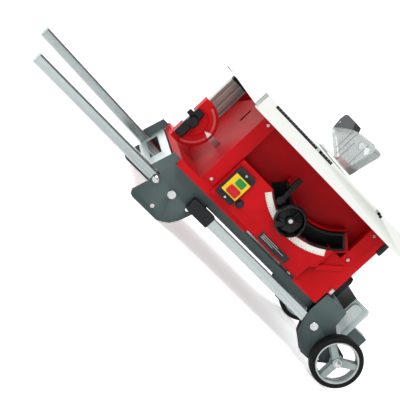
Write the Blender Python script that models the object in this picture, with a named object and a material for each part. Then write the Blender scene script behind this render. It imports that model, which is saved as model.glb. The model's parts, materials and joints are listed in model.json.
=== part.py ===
"""Table saw on a folding wheeled trolley stand, folded down with its two handles pulled out.

Metres, +Z up, front of the saw towards -Y. The wheel axle is x = 0 of the model, and the whole
model hangs from one empty that puts the middle of the footprint at the world origin.
"""

import math

import bmesh
import bpy
from mathutils import Vector

for old in list(bpy.data.objects):
    bpy.data.objects.remove(old, do_unlink=True)

# Gaps
FIT = 0.0003  # between pieces that are fixed to each other
RUN = 0.0010  # between pieces that move past each other

# Wheels and axle
WHEEL_R = 0.078
WHEEL_WIDE = 0.038
RIM_R = 0.0632
RIM_WALL = 0.0047
AXLE_R = 0.006
SPOKES = 3
SPOKE_HALF = 0.0100

# Stand: sheet, tubes and brackets
SHEET = 0.0025
BOLT_R = 0.005
TUBE_WALL = 0.0018
FRAME_IN = 0.186
FRAME_WIDE = 0.020
FRAME_LOW = 0.122
FRAME_TOP = 0.149
FRAME_LEFT = -0.7265
FRAME_RIGHT = -0.072
CHEEK_IN = FRAME_IN + FRAME_WIDE + FIT
CHEEK_OUT = CHEEK_IN + SHEET
LEFT_PIVOT_X = -0.670
LEFT_PIVOT_Z = 0.080
LOCK_RADIUS = 0.0615
LOCK_R = 0.006
LOCK_SPLAY = 13  # degrees the lowered leg leans outwards
RIGHT_PIVOT_X = -0.115
RIGHT_PIVOT_Z = 0.1015

# Handles, which are also the left pair of legs
HANDLE_REACH = 1.190  # end of a handle, left of the axle
HANDLE_HIGH = 0.032
HANDLE_WIDE = 0.020
HANDLE_OUT = CHEEK_IN - RUN
HANDLE_IN = HANDLE_OUT - HANDLE_WIDE
HANDLE_PAST = 0.020  # tube beyond the pivot
HANDLE_LIFT = {"front": 0.7, "rear": 2.4}  # degrees each handle is tipped up
CAP_LONG = 0.008

# Right pair of legs
LEG_HIGH = 0.029
LEG_WIDE = 0.0195
LEG_IN = CHEEK_OUT + RUN
LEG_OUT = LEG_IN + LEG_WIDE
LEG_END = -0.6175
FOOT_LONG = 0.079
FOOT_WALL = 0.0042
OUTER_PLATE = LEG_OUT + RUN + FIT
OUTER_FACE = OUTER_PLATE + SHEET
WHEEL_IN = OUTER_FACE + 3.4 * RUN  # inner face of a wheel, from the middle plane

# Cross beam and parking bracket
BEAM_LEFT = -0.1575
BEAM_RIGHT = -0.0775
BEAM_LOW = FRAME_TOP + 0.0005
BEAM_TOP = 0.192
PARK_HALF = 0.150
PARK_TOP = 0.234
PARK_WEB_X = -0.0525
PARK_FOOT_END = 0.066

# Housing
HOUSE_LEFT = -0.655
HOUSE_RIGHT = -0.165
HOUSE_STEP_X = -0.1514
HOUSE_STEP_Z = 0.195
HOUSE_FRONT = -0.235
HOUSE_BACK = 0.235
HOUSE_LOW = BEAM_LOW
HOUSE_TOP = 0.414
PANEL_Y = -0.205  # recessed upper panel
BULGE_Y = -0.245  # forward face of the lower panel
BULGE_TOP = 0.289
COLUMN_LEFT = -0.612
COLUMN_RIGHT = -0.214
FLANGE_LEFT = -0.724
FLANGE_TOP = 0.170
RECESS_X = -0.605  # rear left corner, set back for the stored fence
RECESS_Y = 0.118
WALL = 0.003
DUST_X = -0.385
DUST_Z = 0.250
DUST_R = 0.050

# Bevel tilt, blade lift and blade
TILT_X = -0.376
TILT_Z = 0.440
SLOT_IN = 0.154
SLOT_OUT = 0.191
SLOT_FROM = -41
SLOT_TO = 48
SCALE_IN = 0.1978
SCALE_OUT = 0.2163
SCALE_FROM = -36.7
SCALE_TO = 34
BLADE_X = -0.3885
BLADE_R = 0.125
BLADE_THICK = 0.0028
BLADE_Y = -0.067
BLADE_Z = 0.328
BLADE_BORE = 0.008
TEETH = 24
MOTOR_R = 0.042
MOTOR_LEFT = -0.546
POST_R = 0.006
POST_X = -0.4075
POST_FRONT_Y = -0.179
POST_REAR_Y = 0.092
SLEEVE_R = 0.012

# Table, rails and extension
TABLE_LEFT = -0.715
TABLE_RIGHT = -0.105
TABLE_HALF = 0.2855
TABLE_TOP = 0.4566
TABLE_LOW = HOUSE_TOP + 2 * FIT
TABLE_SLAB = 0.012
RIB = 0.010
RAIL_WIDE = 0.027
RAIL_OUT = TABLE_HALF + RAIL_WIDE
BAR_WIDE = 0.012
BAR_IN = TABLE_HALF + (RAIL_WIDE - BAR_WIDE) / 2
RAIL_LOW = 0.4095
RAIL_LEFT = -0.710
RAIL_WALL = 0.0025
EXTENSION_RIGHT = -0.015
BAR_LEFT = -0.550
MITRE_SLOT = 0.0195
MITRE_SLOT_DEEP = 0.0095
MITRE_FROM_BLADE = 0.120
CLAMP_X = -0.1765
CLAMP_Y = -0.300

# Guard
GUARD_WIDE = 0.024
GUARD_WALL = 0.0018
GUARD_HINGE_Y = 0.0875
GUARD_HINGE_Z = 0.545
HINGE_R = 0.003

# Front controls
WHEEL_X = -0.4065
WHEEL_Z = 0.2651
CRANK_OFF = 0.0255
GRIP_X = WHEEL_X - CRANK_OFF
GRIP_Z = WHEEL_Z - CRANK_OFF
HANDWHEEL_R = 0.0466
HANDWHEEL_FRONT = -0.2815
SHAFT_R = 0.006
SHAFT_END = -0.197
LEVER_X = -0.4620
LEVER_Z = 0.2835
LEVER_TIP_X = -0.4660
LEVER_TIP_Z = 0.3600
LEVER_WIDE = 0.016
SWITCH_X = (-0.6063, -0.5469)
SWITCH_Z = (0.1755, 0.2723)
SWITCH_DEEP = 0.010
BUTTON_DEEP = 0.006
START_X = -0.572
START_Z = 0.2375
START_WIDE = 0.029
START_HIGH = 0.021
STOP_X = -0.572
STOP_Z = 0.2095
STOP_WIDE = 0.036
STOP_HIGH = 0.024
RESET_X = -0.5306
RESET_Z = 0.1964
RESET_R = 0.0085

# Stored accessories
MITRE_Y = -0.100
MITRE_Z = 0.2525
MITRE_PIVOT_X = -0.757
MITRE_R = 0.0725
MITRE_BAR_END = -0.535
MITRE_THICK = 0.0067
FENCE_X = (-0.710, -0.6475)
FENCE_Y = (0.130, 0.155)
FENCE_TOP = 0.4015
FENCE_GROOVE = 0.004

ROUND = 32

# Colour, roughness, metallic of each finish
FINISHES = {
    "red_paint": ((0.46, 0.004, 0.008), 0.42, 0.0),
    "stand_paint": ((0.045, 0.07, 0.075), 0.5, 0.2),
    "satin_zinc": ((0.42, 0.48, 0.48), 0.38, 0.8),
    "aluminium": ((0.70, 0.74, 0.72), 0.35, 0.9),
    "black_plastic": ((0.014, 0.015, 0.017), 0.5, 0.0),
    "rubber": ((0.02, 0.02, 0.021), 0.8, 0.0),
    "bright_steel": ((0.66, 0.67, 0.68), 0.25, 1.0),
    "clear_plastic": ((0.75, 0.80, 0.82), 0.12, 0.0),
    "white_plate": ((0.82, 0.83, 0.80), 0.5, 0.0),
    "green_plastic": ((0.01, 0.32, 0.06), 0.4, 0.0),
    "stop_plastic": ((0.62, 0.01, 0.012), 0.4, 0.0),
}


def material_of(name):
    """The named finish as a Principled material, made once."""
    if name in bpy.data.materials:
        return bpy.data.materials[name]
    colour, roughness, metallic = FINISHES[name]
    material = bpy.data.materials.new(name)
    material.use_nodes = True
    shader = material.node_tree.nodes["Principled BSDF"]
    shader.inputs["Base Color"].default_value = (*colour, 1)
    shader.inputs["Roughness"].default_value = roughness
    shader.inputs["Metallic"].default_value = metallic
    return material


BODIES = {}


def body(name, parent, at, tip=0):
    """An empty on a moving body's joint axis. Tip turns it about Y, in degrees."""
    empty = bpy.data.objects.new("axis_" + name, None)
    bpy.context.scene.collection.objects.link(empty)
    empty.empty_display_size = 0.02
    origin = Vector(at)
    if parent:
        empty.parent = BODIES[parent][0]
        empty.location = origin - BODIES[parent][1]
    empty.rotation_euler = (0, math.radians(tip), 0)
    BODIES[name] = (empty, origin)


def place(axis, u, v, w):
    """A point from its two coordinates across the axis and the one along it."""
    return {"x": (w, u, v), "y": (u, w, v), "z": (u, v, w)}[axis]


def prism(outline, axis, low, high):
    """The outline, drawn across the axis, from low to high along it."""
    points = [place(axis, u, v, w) for w in (low, high) for u, v in outline]
    count = len(outline)
    faces = [tuple(range(count)), tuple(range(count, 2 * count))]
    for i in range(count):
        j = (i + 1) % count
        faces.append((i, j, count + j, count + i))
    return points, faces


def box(x, y, z):
    return prism([(x[0], y[0]), (x[1], y[0]), (x[1], y[1]), (x[0], y[1])], "z", *z)


def circle(u, v, radius, count=ROUND):
    turns = [2 * math.pi * (i + 0.5) / count for i in range(count)]
    return [(u + radius * math.cos(t), v + radius * math.sin(t)) for t in turns]


def rod(axis, u, v, low, high, radius, count=ROUND):
    return prism(circle(u, v, radius, count), axis, low, high)


def rounded(u, v, radius, steps=3):
    """A rectangle with its corners rounded."""
    outline = []
    for cu, cv, start in (
        (u[1] - radius, v[1] - radius, 0),
        (u[0] + radius, v[1] - radius, 90),
        (u[0] + radius, v[0] + radius, 180),
        (u[1] - radius, v[0] + radius, 270),
    ):
        for i in range(steps + 1):
            t = math.radians(start + 90 * i / steps)
            outline.append((cu + radius * math.cos(t), cv + radius * math.sin(t)))
    return outline


def turned(axis, u, v, profile, count=ROUND):
    """A solid of revolution. Profile points are (radius, along), and it starts and ends on the axis."""
    points = [place(axis, u, v, profile[0][1]), place(axis, u, v, profile[-1][1])]
    rings = profile[1:-1]
    for radius, along in rings:
        points += [place(axis, a, b, along) for a, b in circle(u, v, radius, count)]
    faces = []
    last = 2 + (len(rings) - 1) * count
    for i in range(count):
        j = (i + 1) % count
        faces.append((0, 2 + i, 2 + j))
        faces.append((1, last + i, last + j))
        for k in range(len(rings) - 1):
            a = 2 + k * count
            faces.append((a + i, a + j, a + count + j, a + count + i))
    return points, faces


def ring(axis, u, v, profile, count=ROUND):
    """A solid of revolution round a hole. The profile is a closed loop of (radius, along)."""
    points = []
    for radius, along in profile:
        points += [place(axis, a, b, along) for a, b in circle(u, v, radius, count)]
    faces = []
    for k in range(len(profile)):
        a, b = k * count, (k + 1) % len(profile) * count
        for i in range(count):
            j = (i + 1) % count
            faces.append((a + i, a + j, b + j, b + i))
    return points, faces


def arc_band(u, v, inner, outer, start, end, steps=18):
    """Outline of a band about (u, v), angles in degrees from straight down."""
    turns = [math.radians(start + (end - start) * i / steps) for i in range(steps + 1)]
    far = [(u + outer * math.sin(t), v - outer * math.cos(t)) for t in turns]
    near = [(u + inner * math.sin(t), v - inner * math.cos(t)) for t in turns]
    return far + near[::-1]


def mesh_object(name, shape, owner):
    points, faces = shape
    empty, origin = BODIES[owner]
    solid = bmesh.new()
    made = [solid.verts.new(Vector(p) - origin) for p in points]
    for face in faces:
        solid.faces.new([made[i] for i in face])
    bmesh.ops.recalc_face_normals(solid, faces=solid.faces)
    mesh = bpy.data.meshes.new(name)
    solid.to_mesh(mesh)
    solid.free()
    obj = bpy.data.objects.new(name, mesh)
    bpy.context.scene.collection.objects.link(obj)
    obj.parent = empty
    return obj


def join(obj, tool, owner, operation):
    """Joins a shape to the object, or cuts it away."""
    helper = mesh_object(obj.name + "_tool", tool, owner)
    helper.hide_render = True
    helper.display_type = "WIRE"
    change = obj.modifiers.new(operation.title(), "BOOLEAN")
    change.operation = operation
    change.solver = "EXACT"
    change.object = helper


def node(name, finish, owner, shape, joins=(), cuts=(), smooth=False):
    """One named piece: the shape, with others joined to it and cut from it."""
    obj = mesh_object(name, shape, owner)
    obj.data.materials.append(material_of(finish))
    if smooth:
        obj.data.polygons.foreach_set("use_smooth", [True] * len(obj.data.polygons))
        obj.data.set_sharp_from_angle(angle=math.radians(35))
    for tool in joins:
        join(obj, tool, owner, "UNION")
    for tool in cuts:
        join(obj, tool, owner, "DIFFERENCE")
    return obj


def span(side, near, far):
    """A range of Y on one side of the middle plane, from its distances to that plane."""
    return tuple(sorted((side * near, side * far)))


SIDES = (("front", -1), ("rear", 1))
WHEEL_MID = WHEEL_IN + WHEEL_WIDE / 2
AXLE_Z = WHEEL_R

# Bodies, each on its joint axis
body("stand", None, (0, 0, 0))
BODIES["stand"][0].location = ((HANDLE_REACH - WHEEL_R) / 2, 0, 0)
for end, side in SIDES:
    body(f"wheel_{end}", "stand", (0, side * WHEEL_MID, AXLE_Z))
    body(
        f"handle_{end}",
        "stand",
        (LEFT_PIVOT_X, side * HANDLE_IN, LEFT_PIVOT_Z),
        HANDLE_LIFT[end],
    )
    body(f"leg_{end}", "stand", (RIGHT_PIVOT_X, side * LEG_IN, RIGHT_PIVOT_Z))
    body(
        f"lock_pin_{end}",
        "stand",
        (LEFT_PIVOT_X - LOCK_RADIUS, side * CHEEK_OUT, LEFT_PIVOT_Z),
    )
body("tilt", "stand", (TILT_X, BLADE_Y, TILT_Z))
body("lift", "tilt", (POST_X, BLADE_Y, BLADE_Z))
body("blade", "lift", (BLADE_X, BLADE_Y, BLADE_Z))
body("guard", "lift", (BLADE_X, GUARD_HINGE_Y, GUARD_HINGE_Z))
body("handwheel", "tilt", (WHEEL_X, HANDWHEEL_FRONT, WHEEL_Z))
body("crank", "handwheel", (GRIP_X, HANDWHEEL_FRONT, GRIP_Z))
body("bevel_lock", "tilt", (LEVER_X, BULGE_Y, LEVER_Z))
body("start", "stand", (START_X, BULGE_Y - SWITCH_DEEP, START_Z))
body("stop", "stand", (STOP_X, BULGE_Y - SWITCH_DEEP, STOP_Z))
body("reset", "stand", (RESET_X, BULGE_Y, RESET_Z))
body("mitre", "stand", (HOUSE_LEFT, MITRE_Y, MITRE_Z))
body("mitre_turn", "mitre", (MITRE_PIVOT_X, MITRE_Y, MITRE_Z))
body("mitre_grip", "mitre_turn", (MITRE_PIVOT_X, MITRE_Y, MITRE_Z))
body("fence", "stand", (FENCE_X[1], sum(FENCE_Y) / 2, FLANGE_TOP))
body("extension", "stand", (TABLE_RIGHT, 0, TABLE_LOW))
body("clamp", "stand", (CLAMP_X, CLAMP_Y, RAIL_LOW))


def wheel(end, side):
    """Solid rubber tyre on a plastic rim with three broad spokes and open windows between them."""

    def out(distance):
        return side * (WHEEL_IN + distance)

    shoulder = 0.003
    tread = [
        (RIM_R + FIT, 0),
        (WHEEL_R - 2 * shoulder, 0),
        (WHEEL_R - shoulder / 2, shoulder),
        (WHEEL_R, 3 * shoulder),
        (WHEEL_R, WHEEL_WIDE - 3 * shoulder),
        (WHEEL_R - shoulder / 2, WHEEL_WIDE - shoulder),
        (WHEEL_R - 2 * shoulder, WHEEL_WIDE),
        (RIM_R + FIT, WHEEL_WIDE),
    ]
    tyre = ring("y", 0, AXLE_Z, [(r, out(a)) for r, a in tread], 48)
    node(f"tyre_{end}", "rubber", f"wheel_{end}", tyre, smooth=True)
    hub = 0.0135
    web = (0.014, 0.020)
    lip = 0.002
    profile = [
        (AXLE_R + FIT, lip / 4),
        (hub, lip / 4),
        (hub, web[0]),
        (RIM_R - RIM_WALL, web[0]),
        (RIM_R - RIM_WALL, lip),
        (RIM_R, lip),
        (RIM_R, WHEEL_WIDE - lip),
        (RIM_R - RIM_WALL, WHEEL_WIDE - lip),
        (RIM_R - RIM_WALL, web[1]),
        (hub, web[1]),
        (hub, WHEEL_WIDE - lip / 4),
        (AXLE_R + FIT, WHEEL_WIDE - lip / 4),
    ]
    rim = ring("y", 0, AXLE_Z, [(r, out(a)) for r, a in profile], 40)
    spokes = []
    for i in range(SPOKES):
        turn = math.radians(30 + 360 / SPOKES * i)
        along = Vector((math.cos(turn), math.sin(turn)))
        across = Vector((-along.y, along.x))
        outline = []
        for reach, half in ((0.011, SPOKE_HALF), (RIM_R - RIM_WALL / 2, SPOKE_HALF - 0.0015)):
            for sign in (-1, 1) if reach < hub else (1, -1):
                point = along * reach + across * half * sign
                outline.append((point.x, AXLE_Z + point.y))
        spokes.append(prism(outline, "y", *sorted((out(web[1] - lip), out(0.033)))))
    windows = []
    for i in range(SPOKES):
        middle = math.radians(30 + 360 / SPOKES * (i + 0.5))
        outline = []
        for radius, sign in ((RIM_R - RIM_WALL - lip, 1), (hub + 3 * lip, -1)):
            reach = math.pi / SPOKES - math.asin((SPOKE_HALF + lip) / radius)
            for j in range(7):
                turn = middle + sign * reach * (1 - j / 3)
                outline.append((radius * math.cos(turn), AXLE_Z + radius * math.sin(turn)))
        windows.append(prism(outline, "y", *sorted((out(web[0] - lip), out(0.034)))))
    node(
        f"wheel_rim_{end}", "satin_zinc", f"wheel_{end}", rim, spokes, windows, smooth=True
    )


def axle():
    """Rod through both wheels, its ends upset into round heads."""
    head = 0.0095
    tip = WHEEL_IN + WHEEL_WIDE
    profile = [
        (0, -tip - 0.005),
        (head, -tip - 0.004),
        (head, -tip - RUN),
        (AXLE_R, -tip - RUN),
        (AXLE_R, tip + RUN),
        (head, tip + RUN),
        (head, tip + 0.004),
        (0, tip + 0.005),
    ]
    node("axle_rod", "bright_steel", "stand", turned("y", 0, AXLE_Z, profile), smooth=True)


def frame(end, side):
    """Rectangular tube along the stand, open at both ends."""
    y = span(side, FRAME_IN, FRAME_IN + FRAME_WIDE)
    hollow = box(
        (FRAME_LEFT - FIT, FRAME_RIGHT + FIT),
        (y[0] + TUBE_WALL, y[1] - TUBE_WALL),
        (FRAME_LOW + TUBE_WALL, FRAME_TOP - TUBE_WALL),
    )
    tube = box((FRAME_LEFT, FRAME_RIGHT), y, (FRAME_LOW, FRAME_TOP))
    node(f"frame_tube_{end}", "stand_paint", "stand", tube, cuts=[hollow])


def left_bracket(end, side):
    """Pressed sheet that carries a handle's pivot and locking holes, and is the left foot."""
    outline = [
        (-0.749, 0.167),
        (-0.7255, 0.167),
        (-0.7255, 0.1475),
        (-0.569, 0.1475),
        (-0.576, 0.122),
        (-0.594, 0.066),
        (-0.603, 0.041),
        (-0.616, 0.020),
        (-0.632, 0.008),
        (-0.648, 0),
        (-0.739, 0),
        (-0.751, 0.004),
        (-0.757, 0.016),
        (-0.733, 0.0985),
        (-0.769, 0.0985),
    ]
    y = span(side, CHEEK_IN, CHEEK_OUT)
    long = (y[0] - RUN, y[1] + RUN)
    cuts = [rod("y", LEFT_PIVOT_X, LEFT_PIVOT_Z, *long, BOLT_R + FIT)]
    for turn in (180, 270 - LOCK_SPLAY, 0):
        u = LEFT_PIVOT_X + LOCK_RADIUS * math.cos(math.radians(turn))
        v = LEFT_PIVOT_Z + LOCK_RADIUS * math.sin(math.radians(turn))
        cuts.append(rod("y", u, v, *long, LOCK_R))
    node(f"left_bracket_{end}", "stand_paint", "stand", prism(outline, "y", *y), cuts=cuts)


def left_cross_member():
    """Slanted sheet between the left brackets, narrower where the handles pass, with an opening."""
    slant = 0.241
    high, low = 0.146, 0.063
    top = -0.730
    left = top - slant * (high - low)
    outline = [(left, low), (top, high), (top + SHEET, high), (left + SHEET, low)]
    cuts = [box((-0.80, -0.70), (-0.035, 0.165), (0.086, 0.122))]
    for _, side in SIDES:
        handle_gap = span(side, HANDLE_IN - RUN, CHEEK_IN + RUN)
        cuts.append(box((-0.80, -0.70), handle_gap, (low - RUN, 0.104)))
    half = CHEEK_IN - RUN
    shape = prism(outline, "y", -half, half)
    node("left_cross_member", "satin_zinc", "stand", shape, cuts=cuts)


def through_bolt(name, side, x, z, inside, outside):
    """Cap screw and nut across a pair of faces, given by their distances from the middle plane."""
    head = 0.0125
    thick = 0.0055
    profile = [
        (0, inside - thick),
        (head * 0.7, inside - thick),
        (head * 0.7, inside - FIT),
        (BOLT_R, inside - FIT),
        (BOLT_R, outside + FIT),
        (head, outside + FIT),
        (head, outside + thick - RUN),
        (head - RUN, outside + thick),
        (0, outside + thick),
    ]
    shape = turned("y", x, z, [(r, side * a) for r, a in profile], 24)
    node(name, "bright_steel", "stand", shape, smooth=True)


def lock_pin(end, side):
    """Round headed pin in the upper locking hole, with its tip just clear of the handle."""
    profile = [
        (0, CHEEK_IN),
        (LOCK_R - FIT, CHEEK_IN),
        (LOCK_R - FIT, CHEEK_OUT + RUN / 2),
        (0.0105, CHEEK_OUT + RUN / 2),
        (0.0105, CHEEK_OUT + 0.006),
        (0.007, CHEEK_OUT + 0.0085),
        (0, CHEEK_OUT + 0.009),
    ]
    x = LEFT_PIVOT_X - LOCK_RADIUS
    shape = turned("y", x, LEFT_PIVOT_Z, [(r, side * a) for r, a in profile], 24)
    node(f"lock_pin_{end}", "bright_steel", f"lock_pin_{end}", shape, smooth=True)


def handle(end, side):
    """Round-edged tube from the pivot to a capped end. Swung down, it is a leg."""
    owner = f"handle_{end}"
    y = span(side, HANDLE_IN, HANDLE_OUT)
    z = (LEFT_PIVOT_Z - HANDLE_HIGH / 2, LEFT_PIVOT_Z + HANDLE_HIGH / 2)
    left = -HANDLE_REACH + CAP_LONG
    right = LEFT_PIVOT_X + HANDLE_PAST
    skin = prism(rounded(y, z, 0.006), "x", left, right)
    inner_y = (y[0] + TUBE_WALL, y[1] - TUBE_WALL)
    inner_z = (z[0] + TUBE_WALL, z[1] - TUBE_WALL)
    hollow = prism(rounded(inner_y, inner_z, 0.0045), "x", left - RUN, right + RUN)
    bore = rod("y", LEFT_PIVOT_X, LEFT_PIVOT_Z, y[0] - RUN, y[1] + RUN, BOLT_R + FIT, 24)
    node(f"handle_tube_{end}", "stand_paint", owner, skin, cuts=[hollow, bore], smooth=True)
    slant = 0.004
    cap = [
        (left - FIT, z[0] + RUN),
        (left - FIT, z[1]),
        (left - CAP_LONG, z[1]),
        (left - CAP_LONG + slant, z[0] + RUN),
    ]
    node(f"handle_cap_{end}", "satin_zinc", owner, prism(cap, "y", *y))


def leg(end, side):
    """Rectangular tube folded up along the frame, with a rubber foot over its end."""
    owner = f"leg_{end}"
    y = span(side, LEG_IN, LEG_OUT)
    z = (RIGHT_PIVOT_Z - LEG_HIGH / 2, RIGHT_PIVOT_Z + LEG_HIGH / 2)
    outline = [(LEG_END, z[0]), (LEG_END, z[1])]
    for i in range(9):
        turn = math.radians(90 - 22.5 * i)
        u = RIGHT_PIVOT_X + LEG_HIGH / 2 * math.cos(turn)
        outline.append((u, RIGHT_PIVOT_Z + LEG_HIGH / 2 * math.sin(turn)))
    hollow = box(
        (LEG_END - RUN, RIGHT_PIVOT_X - LEG_HIGH / 2),
        (y[0] + TUBE_WALL, y[1] - TUBE_WALL),
        (z[0] + TUBE_WALL, z[1] - TUBE_WALL),
    )
    bore = rod("y", RIGHT_PIVOT_X, RIGHT_PIVOT_Z, y[0] - RUN, y[1] + RUN, BOLT_R + FIT, 24)
    tube = prism(outline, "y", *y)
    node(f"leg_tube_{end}", "stand_paint", owner, tube, cuts=[hollow, bore])
    foot_x = (LEG_END - 0.0035, LEG_END - 0.0035 + FOOT_LONG)
    foot_z = (z[0] - FOOT_WALL - FIT, z[1] + FOOT_WALL + FIT)
    foot = prism(rounded(foot_x, foot_z, 0.004), "y", *span(side, LEG_IN, LEG_OUT + 0.003))
    pocket = box(
        (LEG_END - FIT, foot_x[1] + RUN),
        span(side, LEG_IN - RUN, LEG_OUT + FIT),
        (z[0] - FIT, z[1] + FIT),
    )
    node(f"leg_foot_{end}", "rubber", owner, foot, cuts=[pocket])


def right_bracket(end, side):
    """Folded sheet: two cheeks either side of a leg, joined over the top, and the axle's bearing."""
    low = [(-0.070, 0.146), (-0.020, 0.108)]
    for turn in (60, 30, 0, -30):
        u = 0.026 * math.cos(math.radians(turn))
        low.append((u, AXLE_Z + 0.026 * math.sin(math.radians(turn))))
    low += [(-0.002, 0.052), (-0.012, 0.046), (-0.040, 0.024), (-0.085, 0.0225)]
    low += [(-0.134, 0.056), (-0.1485, 0.0845), (-0.159, 0.1285)]
    inner = low + [(-0.1585, 0.146)]
    outer = [(-0.158, BEAM_TOP), (-0.077, BEAM_TOP)] + low
    cheek_in = prism(inner, "y", *span(side, CHEEK_IN, CHEEK_OUT))
    cheek_out = prism(outer, "y", *span(side, OUTER_PLATE, OUTER_FACE))
    web = box(
        (-0.1575, -0.0715), span(side, CHEEK_IN + RUN / 2, OUTER_FACE - RUN / 2), (0.1432, 0.1457)
    )
    through = span(side, CHEEK_IN - RUN, OUTER_FACE + RUN)
    cuts = [
        rod("y", 0, AXLE_Z, *through, AXLE_R + FIT),
        rod("y", RIGHT_PIVOT_X, RIGHT_PIVOT_Z, *through, BOLT_R + FIT),
        rod("y", -0.034, 0.0435, *through, LOCK_R),
    ]
    node(f"right_bracket_{end}", "stand_paint", "stand", cheek_out, [cheek_in, web], cuts)


def cross_beam():
    """Square tube across the stand beside the axle."""
    half = OUTER_PLATE - 2 * FIT
    tube = box((BEAM_LEFT, BEAM_RIGHT), (-half, half), (BEAM_LOW, BEAM_TOP))
    hollow = box(
        (BEAM_LEFT + SHEET, BEAM_RIGHT - SHEET),
        (-half - RUN, half + RUN),
        (BEAM_LOW + SHEET, BEAM_TOP - SHEET),
    )
    node("cross_beam", "stand_paint", "stand", tube, cuts=[hollow])


def parking_bracket():
    """Folded sheet that carries the two blocks the folded trolley stands on when upright."""
    web = box((PARK_WEB_X, PARK_WEB_X + SHEET), (-PARK_HALF, PARK_HALF), (BEAM_LOW, PARK_TOP))
    base = box(
        (BEAM_RIGHT + FIT, PARK_WEB_X + RUN),
        (-PARK_HALF, PARK_HALF),
        (BEAM_LOW, BEAM_LOW + SHEET),
    )
    joins = [base]
    for _, side in SIDES:
        outline = [
            (PARK_WEB_X + RUN, BEAM_LOW),
            (PARK_WEB_X + RUN, PARK_TOP),
            (0.004, PARK_TOP),
            (0.012, PARK_TOP - 0.010),
            (0.012, 0.128),
            (-0.030, 0.128),
        ]
        joins.append(prism(outline, "y", *span(side, PARK_HALF - SHEET, PARK_HALF)))
        bar = rounded((-0.047, -0.009), (0.107, 0.225), 0.014)
        joins.append(prism(bar, "y", *span(side, PARK_HALF - RUN, PARK_HALF + 0.005)))
    node("parking_bracket", "satin_zinc", "stand", web, joins)
    for end, side in SIDES:
        block = rounded((0.0125, PARK_FOOT_END), (0.126, 0.170), 0.003, 2)
        y = span(side, PARK_HALF - 0.040, PARK_HALF)
        node(f"parking_foot_{end}", "stand_paint", "stand", prism(block, "y", *y))


def housing():
    """Moulded box round the motor: open above and below, with a recessed and a bulging front panel."""

    def skirt(gap, top):
        """The stepped outline of the front, shrunk by the gap on all sides."""
        return [
            (HOUSE_LEFT + gap, HOUSE_LOW + 0.010 - 8 * gap),
            (HOUSE_RIGHT - gap, HOUSE_LOW + 0.010 - 8 * gap),
            (HOUSE_RIGHT - gap, HOUSE_STEP_Z + gap),
            (HOUSE_STEP_X - gap, HOUSE_STEP_Z + gap),
            (HOUSE_STEP_X - gap, top),
            (COLUMN_RIGHT + gap, top),
            (COLUMN_RIGHT + gap, BULGE_TOP - gap),
            (COLUMN_LEFT - gap, BULGE_TOP - gap),
            (COLUMN_LEFT - gap, top),
            (HOUSE_LEFT + gap, top),
        ]

    over = 0.010
    bulge = [
        (COLUMN_LEFT, FLANGE_TOP - 0.006),
        (-0.262, FLANGE_TOP - 0.006),
        (-0.262, 0.212),
        (-0.246, 0.222),
        (-0.246, BULGE_TOP),
        (COLUMN_LEFT, BULGE_TOP),
    ]
    upper = box((HOUSE_LEFT, HOUSE_RIGHT), (PANEL_Y, HOUSE_BACK), (FLANGE_TOP - over, HOUSE_TOP))
    joins = [
        box((FLANGE_LEFT, HOUSE_RIGHT), (HOUSE_FRONT, HOUSE_BACK), (HOUSE_LOW, FLANGE_TOP)),
        box(
            (HOUSE_RIGHT - over, HOUSE_STEP_X),
            (PANEL_Y, HOUSE_BACK),
            (HOUSE_STEP_Z, HOUSE_TOP),
        ),
        prism(skirt(0, HOUSE_TOP), "y", HOUSE_FRONT, PANEL_Y + over),
        prism(bulge, "y", BULGE_Y, HOUSE_FRONT + over),
    ]
    through = (HOUSE_LOW - over, HOUSE_TOP + over)
    fence_corner = box(
        (FLANGE_LEFT - over, RECESS_X),
        (RECESS_Y, HOUSE_BACK + over),
        (FLANGE_TOP, through[1]),
    )
    inside = [
        box((HOUSE_LEFT + WALL, HOUSE_RIGHT - WALL), (PANEL_Y + WALL, RECESS_Y - WALL), through),
        box((RECESS_X + WALL, HOUSE_RIGHT - WALL), (0, HOUSE_BACK - WALL), through),
        box(
            (HOUSE_RIGHT - over, HOUSE_STEP_X - WALL),
            (PANEL_Y + WALL, HOUSE_BACK - WALL),
            (HOUSE_STEP_Z + WALL, through[1]),
        ),
        prism(skirt(WALL, through[1]), "y", HOUSE_FRONT + WALL, PANEL_Y + over),
        box(
            (COLUMN_LEFT + WALL, -0.265),
            (BULGE_Y + WALL, HOUSE_FRONT + over),
            (FLANGE_TOP - 0.003, BULGE_TOP - WALL),
        ),
    ]
    rear_chamfer = prism(
        [(-0.010, 0.4105), (RECESS_Y - WALL, 0.365), (RECESS_Y - WALL, 0.43), (-0.010, 0.43)],
        "x",
        HOUSE_LEFT - over,
        HOUSE_LEFT + over,
    )
    bar_hole = 0.5 * MITRE_SLOT + RUN
    openings = [
        fence_corner,
        prism(
            arc_band(TILT_X, TILT_Z, SLOT_IN, SLOT_OUT, SLOT_FROM, SLOT_TO),
            "y",
            BULGE_Y - over,
            PANEL_Y + over,
        ),
        box((-0.457, -0.263), (BULGE_Y - over, HOUSE_FRONT + over), (HOUSE_LOW - over, 0.160)),
        box((HOUSE_LEFT - over, HOUSE_LEFT + over), (-0.084, -0.070), (0.345, 0.385)),
        rear_chamfer,
        box(
            (HOUSE_LEFT - over, HOUSE_LEFT + over),
            (MITRE_Y - 0.0065, MITRE_Y + 0.0065),
            (MITRE_Z - bar_hole, MITRE_Z + bar_hole),
        ),
        rod("y", RESET_X, RESET_Z, BULGE_Y - over, BULGE_Y + over, RESET_R + RUN / 2),
        rod("y", DUST_X, DUST_Z, HOUSE_BACK - over, HOUSE_BACK + over, DUST_R - WALL),
    ]
    node("housing", "red_paint", "stand", upper, joins, inside + openings)


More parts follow.
